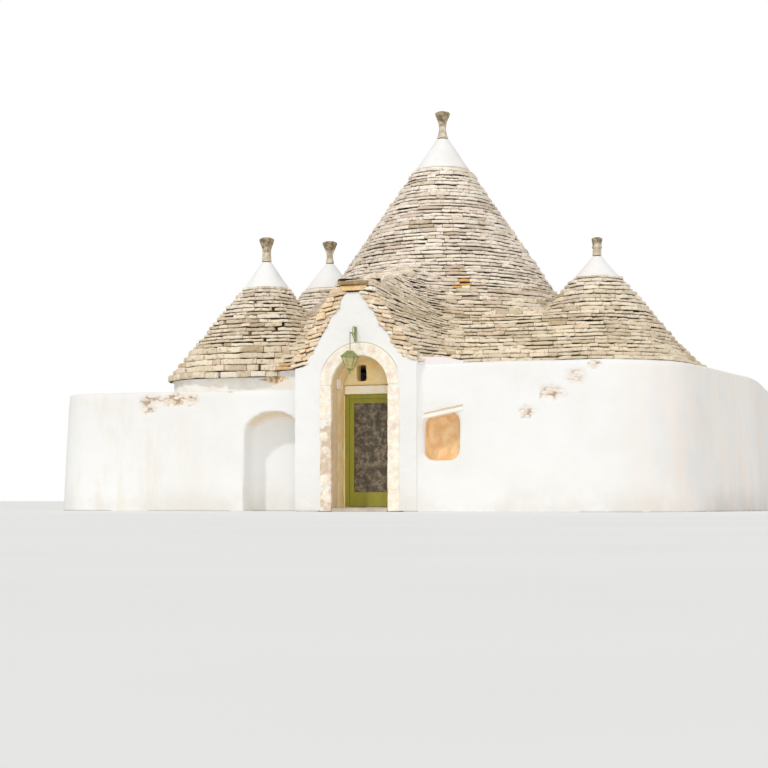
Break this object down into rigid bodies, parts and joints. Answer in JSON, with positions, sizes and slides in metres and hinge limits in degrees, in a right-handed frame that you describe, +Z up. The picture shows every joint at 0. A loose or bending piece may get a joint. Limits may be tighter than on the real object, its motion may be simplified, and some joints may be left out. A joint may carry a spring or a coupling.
{
  "type": "trullo house",
  "caption": "Trullo house: whitewashed walls, an arched porch under a small gable, dry-stone cone roofs with white caps and pinnacles, a glazed door that opens inward.",
  "frame": {"origin": "middle of the main round room at ground level, on the underside of the floor", "axes": "+Z up, the porch faces -Y, +X to the right of a person who looks at the porch"},
  "size_m": [12.69, 10.25, 8.081],
  "materials": {
    "white_plaster": "limewash, matt",
    "porch_plaster": "aged plaster, matt",
    "drum_plaster": "rough limewash",
    "white_cap": "limewash, matt",
    "floor_stone": "worn",
    "cream_stone": "dressed, matt",
    "lintel_stone": "dressed, matt",
    "slab_stone": "split, matt",
    "roof_stone": "dry laid, rough",
    "pinnacle_stone": "carved, matt",
    "green_paint": "satin",
    "door_glass": "clear",
    "hinge_iron": "matt",
    "handle_brass": "satin",
    "lantern_green": "weathered",
    "lantern_glass": "clear"
  },
  "bodies": {
    "house": {"floor": "floor_stone", "porch_floor": "floor_stone", "threshold": "floor_stone", "front_right_wall": "white_plaster", "right_wall": "white_plaster", "back_right_wall": "white_plaster", "back_left_wall": "white_plaster", "left_wall": "white_plaster", "front_left_wall": "white_plaster", "recess_lintel": "cream_stone", "gable_wall": "white_plaster", "arch_ring": "cream_stone", "jamb_stones": "cream_stone", "porch_back_wall": "porch_plaster", "door_lintel": "lintel_stone", "gable_corbels": "roof_stone", "gable_slab": "slab_stone", "left_drum": "drum_plaster", "back_drum": "drum_plaster", "main_drum": "drum_plaster", "right_roof": "roof_stone", "left_roof": "roof_stone", "back_roof": "roof_stone", "main_roof_front": "roof_stone", "main_roof_right": "roof_stone", "main_roof_back": "roof_stone", "main_roof_left": "roof_stone", "porch_roof": "roof_stone", "main_cap": "white_cap", "right_cap": "white_cap", "left_cap": "white_cap", "back_cap": "white_cap", "main_pinnacle": "pinnacle_stone", "right_pinnacle": "pinnacle_stone", "left_pinnacle": "pinnacle_stone", "back_pinnacle": "pinnacle_stone", "door_frame": "green_paint", "hinge_posts": "hinge_iron", "lantern_bracket": "lantern_green", "lantern_frame": "lantern_green", "lantern_glass": "lantern_glass"},
    "door": {"door_leaf": "green_paint", "door_glass": "door_glass", "door_handle": "handle_brass", "hinge_knuckles": "hinge_iron"}
  },
  "joints": [
    {"name": "door_hinge", "type": "hinge", "parent": "house", "child": "door", "pos_m": [-0.4875, -4.31, 1], "axis": [0, 0, 1], "range_deg": [0, 90]}
  ]
}
